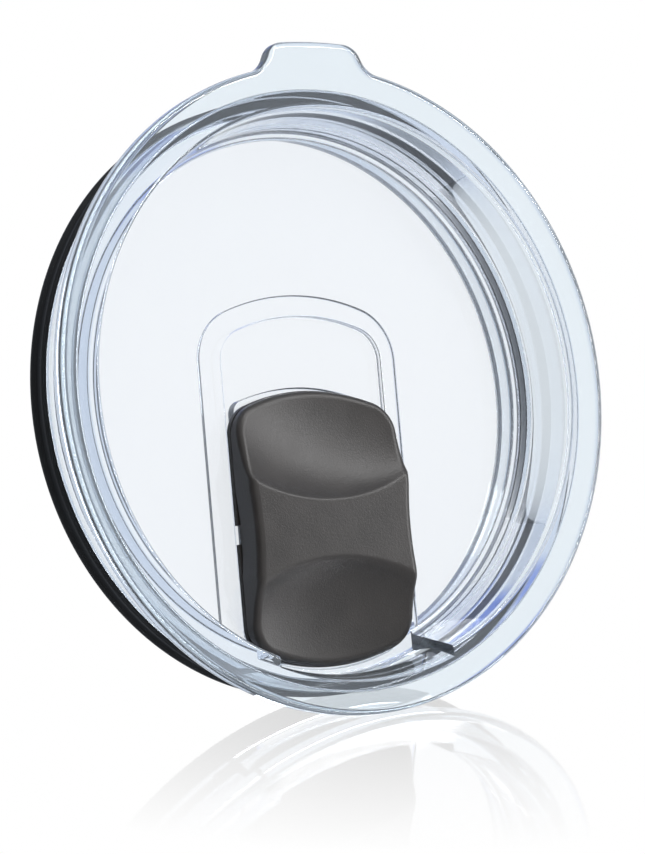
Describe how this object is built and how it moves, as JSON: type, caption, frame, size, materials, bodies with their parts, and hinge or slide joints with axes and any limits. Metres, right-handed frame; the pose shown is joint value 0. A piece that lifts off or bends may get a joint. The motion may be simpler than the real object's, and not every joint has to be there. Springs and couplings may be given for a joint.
{
  "type": "tumbler lid with sliding closure",
  "caption": "Clear press-in tumbler lid with a lifting tab, a black sealing ring and a dark magnetic slider over the sip opening.",
  "frame": {"origin": "on the lid's axis, on the flat underside of the boss that holds the magnets", "axes": "+Z out of the lid's top along its axis, +Y towards the lifting tab, -Y towards the sip opening"},
  "size_m": [0.1, 0.1036, 0.0178],
  "materials": {
    "clear_plastic": "clear, polished",
    "seal_rubber": "satin black silicone",
    "slider_plastic": "fine matte texture",
    "magnet_metal": "nickel plated"
  },
  "bodies": {
    "lid": {"lid_body": "clear_plastic", "lid_gasket": "seal_rubber", "lid_magnet_cover": "clear_plastic", "lid_magnet_closed_left": "magnet_metal", "lid_magnet_closed_right": "magnet_metal", "lid_magnet_open_left": "magnet_metal", "lid_magnet_open_right": "magnet_metal"},
    "slider": {"slider_cap": "slider_plastic", "slider_base": "slider_plastic", "slider_magnet_left": "magnet_metal", "slider_magnet_right": "magnet_metal"}
  },
  "joints": [
    {"name": "slider_slide", "type": "slide", "parent": "lid", "child": "slider", "axis": [0, 1, 0], "range_m": [0, 0.0114]}
  ]
}
